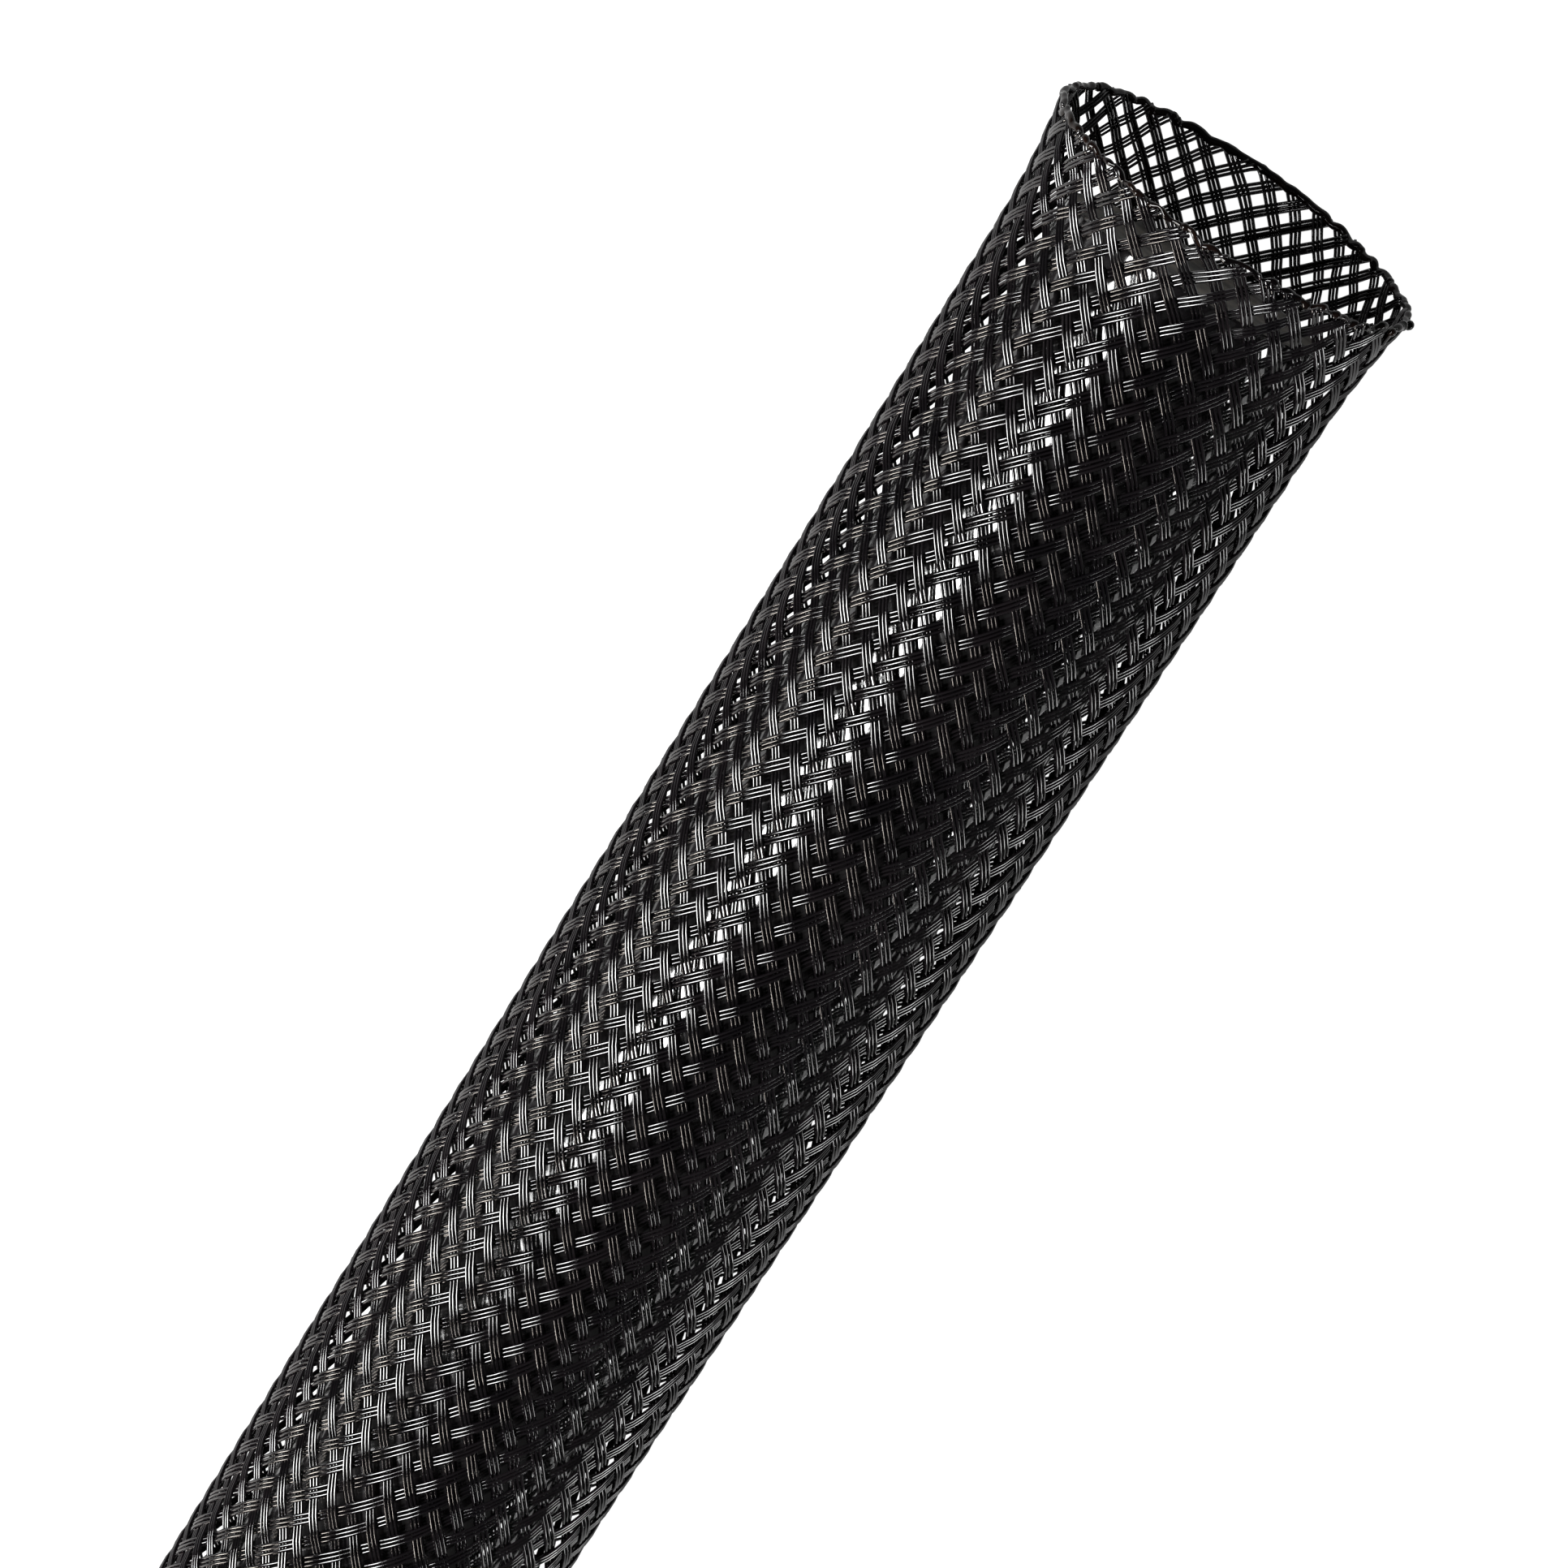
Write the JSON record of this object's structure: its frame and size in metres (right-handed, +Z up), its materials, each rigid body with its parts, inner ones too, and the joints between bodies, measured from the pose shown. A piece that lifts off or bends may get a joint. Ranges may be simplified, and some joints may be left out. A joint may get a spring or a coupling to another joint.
{
  "type": "braided cable sleeve",
  "caption": "Expandable braided filament sleeve with flared hot-cut ends, open and loose over a smooth round core rod.",
  "frame": {"origin": "centre of the sleeve's length and width, on the surface that it lies on", "axes": "+X along the sleeve towards the mouth that the core's slanted end faces, +Z up from the surface that it lies on"},
  "size_m": [0.305, 0.0272, 0.0239],
  "materials": {
    "filament": "gloss",
    "melt": "gloss, melted",
    "core": "semi-gloss, scuffed"
  },
  "bodies": {
    "root": {"braided_sleeve": "filament", "melted_rim_mouth": "melt", "melted_rim_tail": "melt", "core_rod": "core"}
  },
  "joints": []
}
